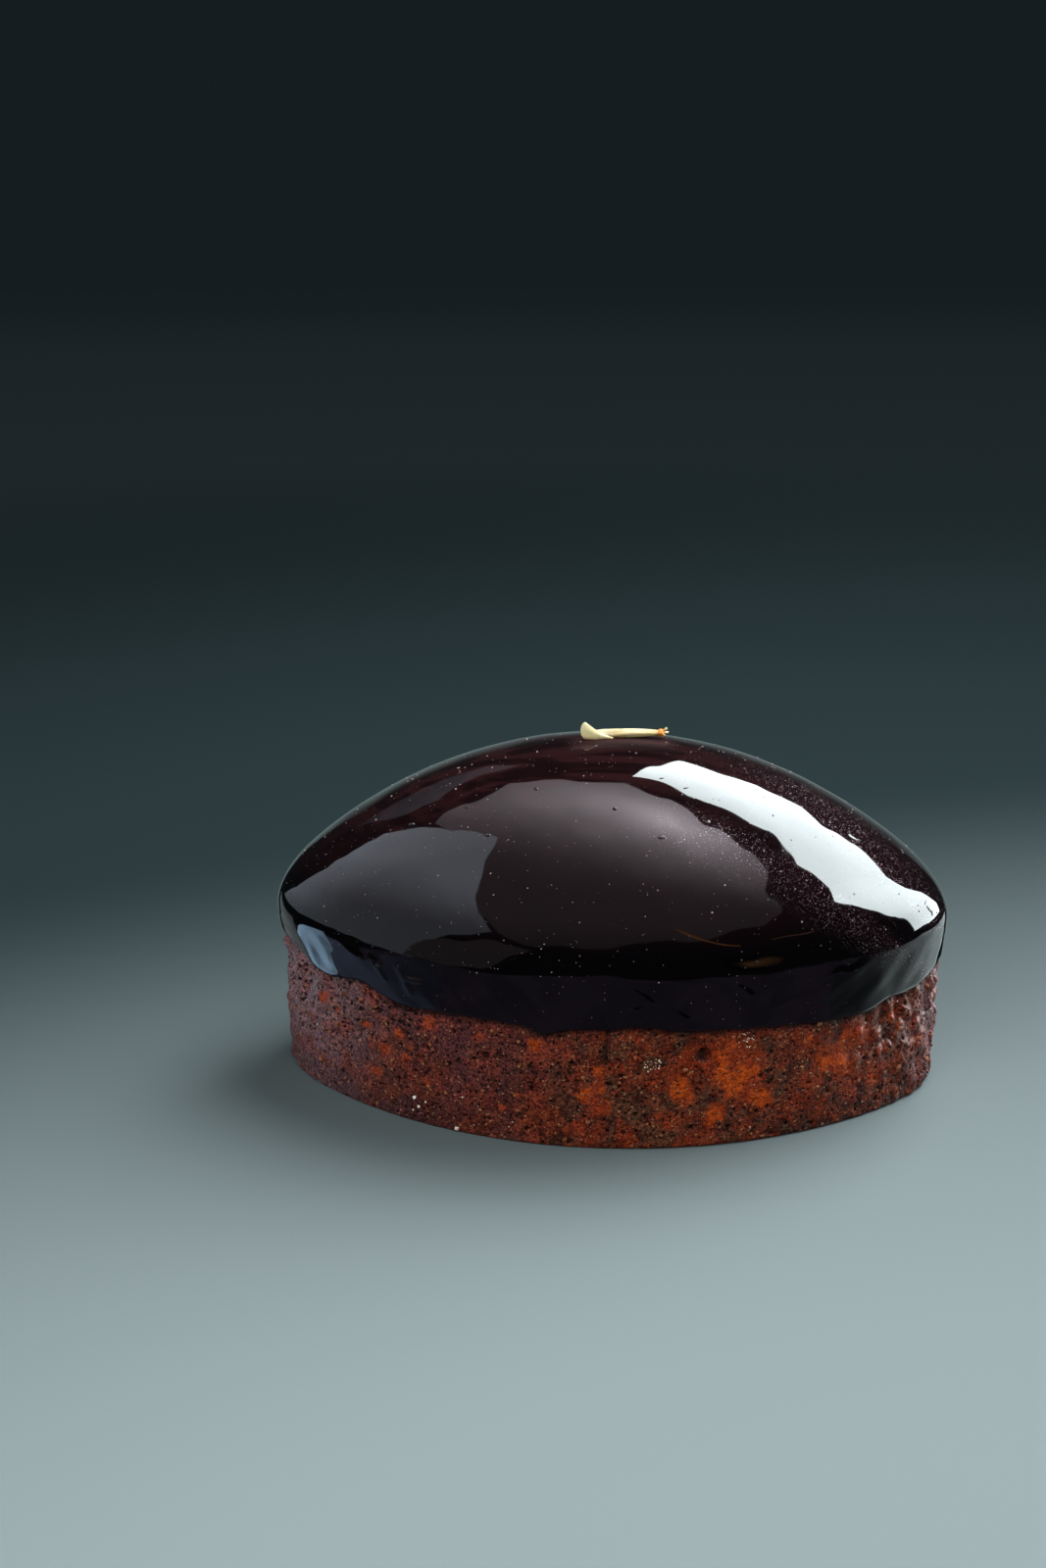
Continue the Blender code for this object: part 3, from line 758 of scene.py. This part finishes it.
def cocoa_crust():
    """Baked cocoa shortcrust: maroon-brown with rusty patches, pores and pale crumbs; painted shade
    darkens the pores, hollows, foot and wall under the glaze, and painted sheen pales both ends.
    """
    material, bench, shader = material_bench("cocoa_crust")
    point = bench.add("ShaderNodeAttribute", attribute_name="nominal")["Vector"]
    rust = bench.add("ShaderNodeAttribute", attribute_name="rust")["Fac"]
    dents = bench.add("ShaderNodeAttribute", attribute_name="dents")["Fac"]
    x, y, z = bench.parts(point)
    mottle = bench.noise(point, 2.4 * MM, 4, 0.65)
    grain = bench.noise(point, 0.46 * MM, 3, 0.65)
    sand = bench.noise(point, 0.22 * MM, 1, 0.6)
    colour = bench.blend(mottle.ramp(0.37, 0.63), CRUMB_DARK, CRUMB_LIGHT)
    plum = bench.noise(point, 13 * MM, 2).ramp(0.28, 0.56) * x.ramp_mm(6, -26, 0.1, 0.9)
    colour = bench.blend(plum, colour, PLUM)
    # Painted sheen: both ends are paler and greyer, the left one brighter higher up, as the sheen of the
    # side light.
    painted_sheen_left = (-x).ramp_mm(28, 52) * z.ramp_mm(2, 16, 0.42, 0.95)
    painted_sheen_right = (x + y * 0.3).ramp_mm(43, 52) * 0.8
    colour = bench.blend(painted_sheen_left, colour, LEFT_END_PAINTED_SHEEN)
    colour = bench.blend(painted_sheen_right, colour, RIGHT_END_PAINTED_SHEEN)
    blotches = bench.noise(point, 4.5 * MM, 3, 0.6)
    ruddy = blotches.ramp(0.46, 0.66) * 0.66
    ruddy = ruddy + bench.noise(point, 9 * MM, 2).ramp(0.56, 0.66) * y.ramp_mm(2, 6) * 0.6
    to_right = x.ramp_mm(-20, 8)
    sandy = blotches.ramp(0.52, 0.4) * to_right * x.ramp_mm(42, 30) * 0.65
    colour = bench.blend(sandy, colour, SANDY)
    red = bench.blend(to_right, RED_LEFT, RED_RIGHT)
    colour = bench.blend(ruddy, colour, red)
    warmth = bench.noise(point, 3 * MM, 2).ramp(0.38, 0.56) * x.ramp_mm(-26, 2, 0.5, 1)
    orange = bench.blend(warmth * rust.ramp(0.3, 0.9), red, ORANGE)
    ragged = bench.noise(point, 1.5 * MM, 4, 0.7)
    baked = (rust + (ragged - 0.5) * 1.1).ramp(0.1, 0.85) * rust.ramp(0, 0.35)
    colour = bench.blend(baked * x.ramp_mm(36, 44, 0.95, 0.72), colour, orange)
    uneven = grain.ramp(0.33, 0.67, 0.42, 1.58) * sand.ramp(0.3, 0.72, 0.62, 1.42)
    uneven = uneven + (1 - uneven) * (baked * 0.25 + painted_sheen_left * 0.3)
    # Painted shade: darker towards the foot, away from the middle of the front.
    painted_foot_shade = abs(x - 2 * MM).ramp_mm(16, 32) * z.ramp_mm(1, 9, 0.26, 0)
    colour = bench.times(colour, uneven * (1 - painted_foot_shade))
    crumb = bench.dots(point, 0.85 * MM, 0.24, 0.16, 0.34, 2)
    colour = bench.blend(crumb * (0.8 - baked * 0.35), colour, PALE_CRUMB)
    speck = bench.dots(point, 0.42 * MM, 0.14, 0.12, 0.3, 1)
    colour = bench.blend(speck * (0.85 - baked * 0.4), colour, PALE_SPECK)
    # Painted shade: the pores, the seam and the dimples are darkened as shade in their hollows.
    holes_and_painted_shade = dents * 2.2
    for *pores, _ in CRUST_PORES:
        holes_and_painted_shade = holes_and_painted_shade + pore(bench, point, *pores)
    holes_and_painted_shade = holes_and_painted_shade + pore(bench, point, *OPEN_PORES[:3]) * open_crumb(x, z)
    # Painted shade: the wall is darkened just below the glaze's edge, where the skirt shades it.
    edge_line = z - edge_sag(x, y) + (ragged - 0.5) * (2.6 * MM)
    painted_shade_below_glaze = edge_line.ramp_mm(18.6, 20.3) * (1 - painted_sheen_left - painted_sheen_right) * 0.75
    holes_and_painted_shade = (holes_and_painted_shade + painted_shade_below_glaze).at_most(1)
    moist = x.ramp_mm(36, 44) * z.ramp_mm(7, 13) + baked * 0.15
    moist = moist + painted_sheen_left * z.ramp_mm(7, 15, 0.2, 1.1)
    relief = grain * 0.9 + sand * 0.5 + mottle * 0.4 - holes_and_painted_shade + (crumb + speck) * 0.6
    look = {
        "Base Color": bench.blend(holes_and_painted_shade * (0.9 - baked * 0.5), colour, PAINTED_HOLLOW_SHADE),
        "Specular IOR Level": 0.07,
        "Roughness": mottle.ramp(0.3, 0.7, 0.36, 0.62),
        "Coat Weight": moist.at_most(1) * (1 - holes_and_painted_shade) * 0.48,
        "Coat Roughness": 0.2,
        "Coat IOR": 1.4,
        "Normal": bench.bump(1, 0.16 * MM, relief),
    }
    bench.fill(shader, look)
    return material


def crumb_matter(name, tones, roughness):
    """Loose crumbs and grains, each a little different, between a dark and a pale tone."""
    material, bench, shader = material_bench(name)
    point = bench.point()
    share = bench.noise(point, 1.1 * MM, 2, 0.7).ramp(0.38, 0.62)
    look = {"Base Color": bench.blend(share, *tones), "Roughness": roughness, "Specular IOR Level": 0.1}
    bench.fill(shader, look)
    return material


def dried_petal():
    """Pale yellow dried petal with fine veins along it, painted darker low down as shade over the glaze.
    """
    material, bench, shader = material_bench("dried_petal")
    point = bench.point()
    x, y, z = bench.parts(point)
    veins = bench.noise(bench.vector(x * 0.12, y, z), 0.22 * MM, 2)
    tone = bench.noise(point, 1.6 * MM, 2)
    colour = bench.blend(tone.ramp(0.35, 0.65), (0.97, 0.79, 0.37, 1), (0.98, 0.91, 0.6, 1))
    lobe, folded = x.ramp_mm(0, -2.5), x.ramp_mm(-2, 1) * 0.4
    # Painted shade: the blossom is darker low down, just over the glaze.
    under = z.ramp(GLAZE_HIGH.z + 0.55 * MM, GLAZE_HIGH.z) * 0.45
    knot = x.ramp_mm(7.4, 8.1) * x.ramp_mm(9.2, 8.9)
    tints = (
        (lobe, (1, 0.9, 0.5, 1)),
        (folded, (0.86, 0.66, 0.3, 1)),
        (veins.ramp(0.5, 0.75) * 0.3, (0.62, 0.4, 0.12, 1)),
        (under, (0.52, 0.36, 0.09, 1)),
        (knot, (0.8, 0.32, 0.03, 1)),
    )
    for share, tint in tints:
        colour = bench.blend(share, colour, tint)
    look = {
        "Base Color": colour,
        "Roughness": 0.45,
        "Subsurface Weight": 0.25,
        "Subsurface Radius": (0.9, 0.6, 0.25),
        "Subsurface Scale": 0.5 * MM,
        "Normal": bench.bump(0.5, 0.05 * MM, veins),
    }
    bench.fill(shader, look)
    return material


def blossom_point(share):
    return TUBE_START.lerp(TUBE_END, share)


def blossom(material):
    """The dried blossom's pleated tube, closed at both ends."""
    made = bmesh.new()
    up = TUBE_SIDE.cross(TUBE_ALONG).normalized()
    rings, around = 40, 28
    loops = []
    for ring in range(rings + 1):
        share = ring / rings
        spot = share * (len(TUBE_RADII) - 1)
        low = min(int(spot), len(TUBE_RADII) - 2)
        radius = TUBE_RADII[low] + (TUBE_RADII[low + 1] - TUBE_RADII[low]) * (spot - low)
        loop = []
        for step in range(around):
            angle = 2 * math.pi * step / around
            pleat = 1 + 0.07 * math.cos(5 * angle + 0.8 * math.sin(7 * share)) - 0.03
            reach = radius * MM * pleat * (1 if ring < rings else 0.75)
            offset = TUBE_SIDE * math.cos(angle) * reach + up * math.sin(angle) * reach
            loop.append(made.verts.new(blossom_point(share) + offset))
        loops.append(loop)
    for first, second in zip(loops, loops[1:]):
        for step in range(around):
            after = (step + 1) % around
            made.faces.new((first[step], first[after], second[after], second[step]))
    made.faces.new(loops[0])
    made.faces.new(list(reversed(loops[-1])))
    bmesh.ops.recalc_face_normals(made, faces=made.faces)
    return mesh_object("blossom_tube", made, material)


def petal(material):
    """The petal folded over the tube's end: it stands up at its tip and runs out along the tube."""
    made = bmesh.new()
    bmesh.ops.create_grid(made, x_segments=34, y_segments=20, size=0.5)
    for vertex in made.verts:
        share = vertex.co.x + 0.5
        across = vertex.co.y + 0.5
        rise = min(1, share / 0.1) ** 0.5
        low = (-0.9 + 0.3 * share) * MM
        high = (-0.6 + 3 * (1 - share) ** 1.25 * (0.55 + 0.45 * rise)) * MM
        height = low + (high - low) * across
        round_tip = 0.55 * MM * (1 - math.cos(math.pi * (across - 0.5)) ** 0.5) * (1 - share) ** 3
        reach = (-1.95 + 5.1 * share - 0.35 * across * (1 - share)) * MM + round_tip
        hug = 0.8 * math.cos(0.9 * (across - 0.4)) * min(1, share * 2.2) ** 0.8
        curl = 0.35 * math.sin(math.pi * across) * (1 - share)
        ruffle = 0.05 * math.sin(9 * across + 5 * share) * (1 - share)
        out = (hug + curl + ruffle + 0.1) * MM
        place = blossom_point(0) + TUBE_ALONG * reach + TUBE_SIDE * out
        vertex.co = place + Vector((0, 0, height))
    sheet = mesh_object("blossom_petal", made, material)
    thicken = sheet.modifiers.new("thickness", "SOLIDIFY")
    thicken.thickness = PETAL_THICKNESS
    thicken.offset = 0
    round_off = sheet.modifiers.new("round", "SUBSURF")
    round_off.levels = 1
    round_off.render_levels = 1
    return sheet


def knot_and_stamens(material):
    """The knot where the tube ends, with three short stamens."""
    made = bmesh.new()
    centre = Matrix.Translation(blossom_point(1.04))
    bmesh.ops.create_icosphere(made, subdivisions=3, radius=KNOT_RADIUS, matrix=centre)
    for vertex in made.verts:
        away = vertex.co - blossom_point(1.04)
        lumps = 1 + 0.1 * math.sin(away.y / MM * 9) * math.cos(away.z / MM * 8)
        vertex.co = blossom_point(1.04) + away * lumps
    for yaw, pitch, length in STAMENS:
        turn = Euler((0, math.pi / 2 - math.radians(pitch), math.radians(yaw))).to_matrix().to_4x4()
        place = Matrix.Translation(blossom_point(1.05)) @ turn
        outward = Matrix.Translation((0, 0, length * MM / 2))
        size = {"radius1": 0.16 * MM, "radius2": 0.22 * MM, "depth": length * MM}
        bmesh.ops.create_cone(made, cap_ends=True, segments=12, matrix=place @ outward, **size)
    return mesh_object("blossom_knot", made, material)


def mesh_object(name, made, material):
    mesh = bpy.data.meshes.new(name)
    made.to_mesh(mesh)
    made.free()
    mesh.materials.append(material)
    mesh.shade_smooth()
    return put_in_scene(name, mesh)


def studio_floor():
    """A pale floor with a painted pool of light: its colour darkens away from the tart and to the left,
    and its far part glows with a painted dim tone that fades into the tone behind it.
    """
    made = bmesh.new()
    bmesh.ops.create_grid(made, x_segments=1, y_segments=1, size=4)
    material, bench, shader = material_bench("pale_floor")
    x, y, _ = bench.parts(bench.point())
    # Painted light: the floor's colour is brightest near the tart and to the right, and its far part
    # glows.
    away = ((x + 0.02) ** 2 + ((y + 0.17) * 1.7) ** 2).root() - x * 0.7
    far = (x**2 + (y + 0.1) ** 2).root()
    painted_far_glow = bench.blend(far.ramp(1, 3.6), FLOOR_PAINTED_GLOW, FAR_TONE)
    look = {
        "Base Color": bench.blend(away.ramp(0.1, 0.52), FLOOR_PAINTED_LIGHT, FLOOR_PAINTED_DIM),
        "Emission Color": bench.blend(far.ramp(0.42, 0.95), (0, 0, 0, 1), painted_far_glow),
        "Emission Strength": 1,
        "Roughness": 0.7,
        "Specular IOR Level": 0,
    }
    bench.fill(shader, look)
    floor = mesh_object("floor", made, material)
    floor.visible_glossy = False


def towards(azimuth, elevation):
    """The direction at that azimuth from the front, towards +X, and elevation, in degrees."""
    turn, lift = math.radians(azimuth), math.radians(elevation)
    return Vector((math.sin(turn) * math.cos(lift), -math.cos(turn) * math.cos(lift), math.sin(lift)))


def light_card(name, aim, corners, strength, colour, fade=None):
    """A flat studio card far out at aim, cut to corners as the tart sees them, for reflections."""
    facing = towards(*aim)
    rays = [towards(*corner) for corner in corners]
    points = [TART_MIDDLE + ray * (CARD_DISTANCE / max(0.08, ray.dot(facing))) for ray in rays]
    mesh = bpy.data.meshes.new(name)
    mesh.from_pydata(points, [], [list(range(len(points)))])
    material, bench, _ = material_bench(name)
    material.node_tree.nodes.clear()
    power = strength
    if fade:
        power = fade(bench.parts(bench.point())) * strength
    glow = bench.add("ShaderNodeEmission", {"Color": (*colour, 1), "Strength": power})
    bench.add("ShaderNodeOutputMaterial", {"Surface": glow["Emission"]})
    mesh.materials.append(material)
    card = put_in_scene(name, mesh)
    card.visible_camera = False
    card.visible_diffuse = False
    card.visible_shadow = False


def scrim_fade(place):
    """Brightest high up at the back on the right, and dim towards the front."""
    x, y, z = place
    height = z.at_least(0.25)
    across, back = x / height - 0.24, y / height
    first = (across * 0.8 - back * 0.6) / 0.43
    second = (across * 0.6 + back * 0.8) / 0.195
    lobe = x.bench.math("EXPONENT", -((first**2 + second**2) ** 0.48))
    return lobe * 7.6 + z.ramp(0, 1.6, 0.11, 0.19)


def left_fade(place):
    """Brighter upwards and towards the back."""
    _, y, z = place
    return (z.ramp(0.5, 2.4, 0.28, 0.92) + y.ramp(-0.8, 0.8, 0, 0.3) * z.ramp(-0.6, 0.6)).at_most(1)


def streak_fade(place):
    """Brighter upwards."""
    return place[2].ramp(0.8, 2.2, 0.12, 1)


def window_fade(place):
    """Dimmer at both ends, where the glaze is seen most aslant, and a little uneven."""
    x, y, z = place
    folds = x.bench.noise(x.bench.vector(x, y, z), 1.8, 1).ramp(0.32, 0.68, 0.95, 1.06)
    return folds * z.ramp(-0.2, 1.7, 0.7, 1.1) * z.ramp(2.2, 4.2, 1, 0.66)


def blob_fade(place):
    """Uneven, and brighter towards the back."""
    x, y, z = place
    uneven = x.bench.noise(x.bench.vector(x, y * 2, z * 2), 0.8, 3).ramp(0.36, 0.62, 0.45, 1.2)
    return uneven * y.ramp(-0.5, 0.7, 0.55, 1.15)


def haze_fade(place):
    """Dimmer upwards."""
    return place[2].ramp(-0.3, 0.8, 1, 0.1)


def dusk_fade(place):
    """Dimmer towards the front."""
    return place[1].ramp(-1.9, -0.3, 0.26, 1) * cloud(place, 0.8, 1.15)


def low_fade(place):
    """Brightest at the back."""
    return (place[1].ramp(-1.2, 1.1) ** 1.6 + 0.075) * cloud(place, 0.75, 1.2)


def even_fade(place):
    return cloud(place, 0.8, 1.15)


def glow_fade(place):
    """A small round glow in the card's middle."""
    x, _, z = place
    away = ((x - 1.9) ** 2 + ((z + 0.64) * 1.5) ** 2).root()
    return away.ramp(0, 0.3, 1, 0) * cloud(place, 0.3, 1.3)


def cloud(place, dim, bright):
    """Soft uneven patches, so that a low card doesn't shine evenly."""
    x, y, z = place
    bench = x.bench
    return bench.noise(bench.vector(x + z * 1.4, y, z * 0.4), 0.8, 1).ramp(0.32, 0.68, dim, bright)


def studio_lights():
    """Overhead scrim, window on the right, cool cards round it, warm ones low in front, and lamps."""
    scrim = ((-113, 47), (-126, 49), (-139, 52), (-148, 51), (-159, 58), (-174, 65), (177, 65), (159, 70))
    scrim += ((128, 71), (98, 68), (83, 62), (76, 54), (67, 44), (56, 35), (51, 21), (43, 13), (26, 8))
    scrim += ((12, 5), (-5, 0), (-24, 2), (-31, 9), (-38, 19), (-43, 33), (-59, 50), (-76, 60), (-100, 53))
    light_card("scrim", (-10, 52), scrim, 1, (1, 0.9, 0.97), scrim_fade)
    window = ((174, 59), (173, 52), (168, 38), (153, 37), (143, 34), (132, 35), (126, 32), (109, 25))
    window += ((109, 19), (117, 12), (126, -1), (125, -8), (101, -9), (92, -11), (87, 6), (76, 17))
    window += ((72, 23), (77, 32), (81, 43), (93, 49), (105, 54), (119, 61), (132, 64), (163, 60))
    light_card("window", (122, 28), window, 15.6, (0.88, 0.98, 1), window_fade)
    left = ((-113, 44), (-119, 35), (-112, 20), (-115, 6), (-128, -8), (-105, -9), (-73, -15), (-55, -20))
    left += ((-50, -7), (-42, 1), (-33, 8), (-38, 19), (-43, 33), (-59, 50), (-76, 60), (-100, 53))
    light_card("left", (-84, 20), left, 1.55, (0.88, 0.98, 1.13), left_fade)
    lens = ((-57, -19), (-51, -6), (-42, -1), (-32, 1), (-22, -2), (-30, -13), (-35, -18), (-44, -21))
    light_card("lens", (-42, -8), lens, 0.16, (1, 0.82, 0.86))
    behind = ((-136, 21), (-145, 24), (-153, 25), (-158, 30), (-160, 38), (-151, 36), (-137, 40))
    behind += ((-130, 36), (-132, 28))
    light_card("behind", (-145, 31), behind, 0.3, (0.85, 0.92, 1.1), streak_fade)
    haze = ((148, -24), (148, 15), (180, 20), (-150, 15), (-150, -24), (180, -24))
    light_card("haze", (180, 4), haze, 0.24, (0.72, 0.98, 1), haze_fade)
    low_left = ((-87, -20), (-88, -28), (-92, -35), (-98, -37), (-107, -33), (-110, -26), (-98, -20))
    light_card("low_left", (-95, -27), low_left, 1.7, (0.62, 0.95, 1.32), blob_fade)
    dusk = ((-50, -21), (-50, -42), (-86, -42), (-91, -34), (-87, -22))
    light_card("dusk", (-68, -30), dusk, 0.36, (0.66, 0.8, 1.22), dusk_fade)
    limb = ((-109, -18), (-110, -36), (-140, -36), (-140, -12))
    light_card("limb", (-124, -25), limb, 0.3, (0.84, 0.98, 1.05))
    low_right = ((64, -23), (70, -42), (140, -42), (140, -14), (100, -17), (84, -22))
    light_card("low_right", (98, -29), low_right, 1.15, (0.84, 1, 1.02), low_fade)
    under = ((-112, -22), (-60, -19), (0, -19), (60, -19), (100, -22), (100, -70), (0, -70), (-112, -70))
    light_card("under", (0, -60), under, 0.11, (0.95, 0.74, 1.12), even_fade)
    arc = ((20, 14.5), (21, 11.5), (26, 7.5), (31, 4), (37, 1.8), (37, 2.6), (31, 5.2), (26, 9))
    arc += ((22, 12.5),)
    light_card("warm_arc", (29, 7), arc, 0.8, (1, 0.4, 0.12))
    arc_end = ((44, 2), (50, 2.6), (57, 4.6), (56, 5.6), (50, 3.6), (44, 2.6))
    light_card("warm_arc_end", (50, 4), arc_end, 0.45, (1, 0.5, 0.32))
    glow = ((33, -8), (42, -8), (46, -12), (44, -17), (37, -19), (32, -14))
    light_card("warm_glow", (39, -13), glow, 0.42, (1, 0.5, 0.2), glow_fade)
    for name, place, aim, size, spread, power in STUDIO_LAMPS:
        data = bpy.data.lights.new(name, "AREA")
        data.energy = power
        data.size = size
        data.spread = math.radians(spread)
        lamp = put_in_scene(name, data)
        lamp.location = place
        lamp.rotation_euler = (Vector(aim) - Vector(place)).to_track_quat("-Z", "Y").to_euler()
        lamp.visible_camera = False
        lamp.visible_glossy = False


def studio_air():
    """The tone far behind, even in every direction."""
    world = bpy.data.worlds.new("studio")
    bpy.context.scene.world = world
    world.use_nodes = True
    sky = world.node_tree.nodes["Background"]
    sky.inputs["Color"].default_value = FAR_TONE
    sky.inputs["Strength"].default_value = 1
    bpy.context.scene.view_settings.view_transform = "Standard"


def photo_camera():
    """The camera at the photograph's place, angle and roll."""
    data = bpy.data.cameras.new("camera")
    data.lens = CAMERA_LENS
    data.sensor_width = 36
    data.clip_start = 0.01
    camera = put_in_scene("camera", data)
    camera.rotation_mode = "QUATERNION"
    facing = CAMERA_AIM.to_track_quat("-Z", "Y")
    camera.rotation_quaternion = facing @ Euler((0, 0, CAMERA_ROLL)).to_quaternion()
    camera.location = CAMERA_PLACE
    bpy.context.scene.camera = camera


glaze_material = mirror_glaze()
bubble_material = mirror_glaze("bubble_glaze", BUBBLE_BODY)
glaze = glaze_shape(glaze_material)
crust = crust_shape(cocoa_crust())
crumb = crumb_matter("crumb", LOOSE_CRUMB, 0.5)
crust_crumbs = scatter("crust_crumbs", crust, crumb, (9.0e4, 0.14, 0.52), 3, bare_wall, rough=0.22 * MM)
sugar = crumb_matter("sugar", SUGAR, 0.4)
sugar_grains = scatter("sugar_grains", crust, sugar, (1.4e4, 0.07, 0.2), 11, sugared_wall, (5, 3))
bubbles = scatter("glaze_bubbles", glaze, bubble_material, (1.1e5, 0.05, 0.17), 23, upper_dome)
blisters = glaze_blisters(glaze_material)
crystals = loose_crystals(sugar)
petal_material = dried_petal()
flower = (blossom(petal_material), petal(petal_material), knot_and_stamens(petal_material))
food = (
    ("glaze", "glazed_dome", (glaze, bubbles, blisters)),
    ("crust", "tart_crust", (crust, crust_crumbs, sugar_grains, crystals)),
    ("blossom", "dried_blossom", flower),
)
for slot, node, pieces in food:
    for piece in pieces:
        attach(piece, "root")
        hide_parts(node)
studio_floor()
studio_lights()
studio_air()
photo_camera()
